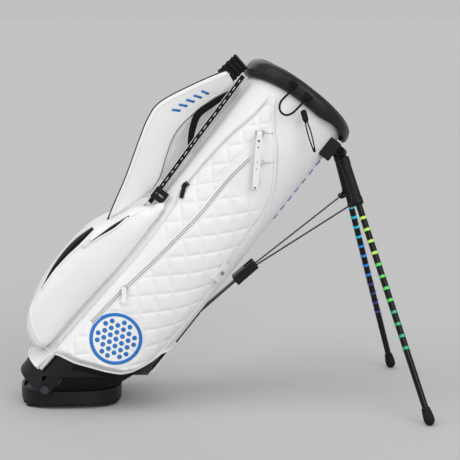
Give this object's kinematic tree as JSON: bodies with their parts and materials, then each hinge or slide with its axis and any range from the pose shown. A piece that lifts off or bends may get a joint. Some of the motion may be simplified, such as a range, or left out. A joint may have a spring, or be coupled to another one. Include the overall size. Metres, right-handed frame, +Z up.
{
  "type": "golf stand bag",
  "caption": "Leaning golf bag with padded mouth and dividers, quilted pockets, double shoulder strap, fold-out legs and a hinged sole.",
  "frame": {"origin": "middle of the object's box, on the floor under the leaning bag", "axes": "+X from the sole towards the feet, +Z up, the bag's mid-plane is Y = 0 with the right-hand leg at -Y"},
  "size_m": [0.8504, 0.551, 0.7394],
  "materials": {
    "white_leather": "soft satin",
    "black_fabric": "matt weave",
    "black_cord": "braided",
    "black_plastic": "moulded",
    "white_plastic": "satin",
    "black_rubber": "matt",
    "steel": "brushed",
    "zip_metal": "black enamel",
    "leg_black": "black gloss enamel",
    "band_green": "gloss",
    "band_blue": "gloss",
    "patch_blue": "satin"
  },
  "bodies": {
    "bag": {"panel_right": "white_leather", "panel_left": "white_leather", "panel_spine": "white_leather", "panel_underside": "white_leather", "divider_frame": "black_plastic", "divider_panels": "black_fabric", "top_cuff": "black_fabric", "base_collar": "black_plastic", "tube_floor": "black_plastic", "base_gusset": "black_fabric", "pocket_right": "white_leather", "pocket_left": "white_leather", "ball_pocket": "white_leather", "valuables_pocket": "white_leather", "round_patch": "patch_blue", "zip_tapes_sides": "white_plastic", "zip_tapes_ball": "black_fabric", "zip_tapes_valuables": "white_plastic", "strap_right": "white_leather", "strap_left": "black_fabric", "strap_hub": "black_fabric", "strap_webbing": "black_fabric", "webbing_buckle": "black_plastic", "towel_tabs": "white_plastic", "towel_cord": "black_cord", "keeper_strap": "white_plastic", "keeper_rivet": "steel", "leg_bracket": "black_plastic", "leg_pins": "steel", "rod_guide": "black_plastic"},
    "sole": {"sole_plate": "black_plastic", "sole_treads": "black_rubber", "sole_hinge_pins": "steel", "rod_bracket": "black_plastic"},
    "leg_right": {"leg_housing_right": "black_plastic", "leg_tube_right": "leg_black", "leg_bands_right": "band_green", "foot_right": "black_rubber"},
    "leg_left": {"leg_housing_left": "black_plastic", "leg_tube_left": "leg_black", "leg_bands_left": "band_blue", "foot_left": "black_rubber"},
    "push_rod": {"slide_rod": "steel", "spring_rod": "steel", "fork_connector": "black_plastic"},
    "wire_right": {"fork_wire_right": "steel"},
    "wire_left": {"fork_wire_left": "steel"},
    "toggle": {"toggle_puller": "black_cord"},
    "slider_right": {"slider_right": "zip_metal"},
    "pull_right": {"pull_right": "white_plastic"},
    "slider_left": {"slider_left": "zip_metal"},
    "pull_left": {"pull_left": "white_plastic"},
    "slider_upper": {"slider_upper": "zip_metal"},
    "pull_upper": {"pull_upper": "black_rubber"},
    "slider_ball": {"slider_ball": "zip_metal"},
    "pull_ball": {"pull_ball": "black_rubber"},
    "slider_valuables_top": {"slider_valuables_top": "zip_metal"},
    "pull_valuables_top": {"pull_valuables_top": "white_plastic"},
    "slider_valuables_low": {"slider_valuables_low": "zip_metal"},
    "pull_valuables_low": {"pull_valuables_low": "white_plastic"}
  },
  "joints": [
    {"name": "sole_fold", "type": "hinge", "parent": "bag", "child": "sole", "pos_m": [-0.3705, 0, 0.044], "axis": [0, 1, 0], "range_deg": [0, 38.5], "deforming": ["base_gusset"]},
    {"name": "leg_right_fold", "type": "hinge", "parent": "bag", "child": "leg_right", "pos_m": [0.25595, -0.045, 0.53598], "axis": [0.3431, 0.8988, -0.2729], "range_deg": [0, 58.01]},
    {"name": "leg_left_fold", "type": "hinge", "parent": "bag", "child": "leg_left", "pos_m": [0.25595, 0.045, 0.53598], "axis": [-0.3431, 0.8988, 0.2729], "range_deg": [0, 58.01]},
    {"name": "rod_slide", "type": "slide", "parent": "bag", "child": "push_rod", "axis": [-0.6225, 0, -0.7826], "range_m": [0, 0.06901]},
    {"name": "wire_right_fold", "type": "hinge", "parent": "leg_right", "child": "wire_right", "pos_m": [0.27048, -0.08253, 0.4267], "axis": [-0.3443, -0.8985, 0.2724], "range_deg": [0, 79.73]},
    {"name": "wire_left_fold", "type": "hinge", "parent": "leg_left", "child": "wire_left", "pos_m": [0.27048, 0.08253, 0.4267], "axis": [0.3443, -0.8985, -0.2724], "range_deg": [0, 79.73]},
    {"name": "slide_right", "type": "slide", "parent": "bag", "child": "slider_right", "axis": [0.7053, -0.0321, 0.7082], "range_m": [0, 0.1915]},
    {"name": "swing_right", "type": "hinge", "parent": "slider_right", "child": "pull_right", "pos_m": [-0.20221, -0.13639, 0.26259], "axis": [0.1695, 0.9776, -0.1244], "range_deg": [-70, 70]},
    {"name": "slide_left", "type": "slide", "parent": "bag", "child": "slider_left", "axis": [0.7053, 0.0321, 0.7082], "range_m": [0, 0.1915]},
    {"name": "swing_left", "type": "hinge", "parent": "slider_left", "child": "pull_left", "pos_m": [-0.20221, 0.13639, 0.26259], "axis": [-0.1695, 0.9776, 0.1244], "range_deg": [-70, 70]},
    {"name": "slide_upper", "type": "slide", "parent": "bag", "child": "slider_upper", "axis": [0.6833, -0.0537, 0.7282], "range_m": [0, 0.2312]},
    {"name": "swing_upper", "type": "hinge", "parent": "slider_upper", "child": "pull_upper", "pos_m": [-0.07612, -0.10009, 0.47434], "axis": [0.4969, 0.7649, -0.4098], "range_deg": [-60, 60]},
    {"name": "slide_ball", "type": "slide", "parent": "bag", "child": "slider_ball", "axis": [0.6437, -0.0249, 0.7649], "range_m": [0, 0.1171]},
    {"name": "swing_ball", "type": "hinge", "parent": "slider_ball", "child": "pull_ball", "pos_m": [-0.35147, -0.08547, 0.25758], "axis": [0.5335, 0.7311, -0.4252], "range_deg": [-55, 55]},
    {"name": "slide_valuables_top", "type": "slide", "parent": "bag", "child": "slider_valuables_top", "axis": [0.9796, -0.2006, -0.0137], "range_m": [0, 0.0104]},
    {"name": "swing_valuables_top", "type": "hinge", "parent": "slider_valuables_top", "child": "pull_valuables_top", "pos_m": [0.07637, -0.14119, 0.58279], "axis": [0.2006, 0.9797, -0.0028], "range_deg": [0, 85]},
    {"name": "slide_valuables_low", "type": "slide", "parent": "bag", "child": "slider_valuables_low", "axis": [0.9985, 0.0439, -0.0334], "range_m": [0, 0.0207]},
    {"name": "swing_valuables_low", "type": "hinge", "parent": "slider_valuables_low", "child": "pull_valuables_low", "pos_m": [0.07803, -0.13518, 0.52364], "axis": [-0.0439, 0.999, 0.0015], "range_deg": [-75, 0]},
    {"name": "toggle_swing", "type": "hinge", "parent": "bag", "child": "toggle", "pos_m": [0.166, -0.141, 0.626], "axis": [0, 1, 0], "range_deg": [-80, 0]}
  ],
  "couplings": [
    {"joint": "leg_right_fold", "follows": "sole_fold", "ratio": 1.5065},
    {"joint": "leg_left_fold", "follows": "sole_fold", "ratio": 1.5065},
    {"joint": "rod_slide", "follows": "sole_fold", "m_per_rad": 0.10269},
    {"joint": "wire_right_fold", "follows": "sole_fold", "ratio": 2.0708},
    {"joint": "wire_left_fold", "follows": "sole_fold", "ratio": 2.0708}
  ]
}
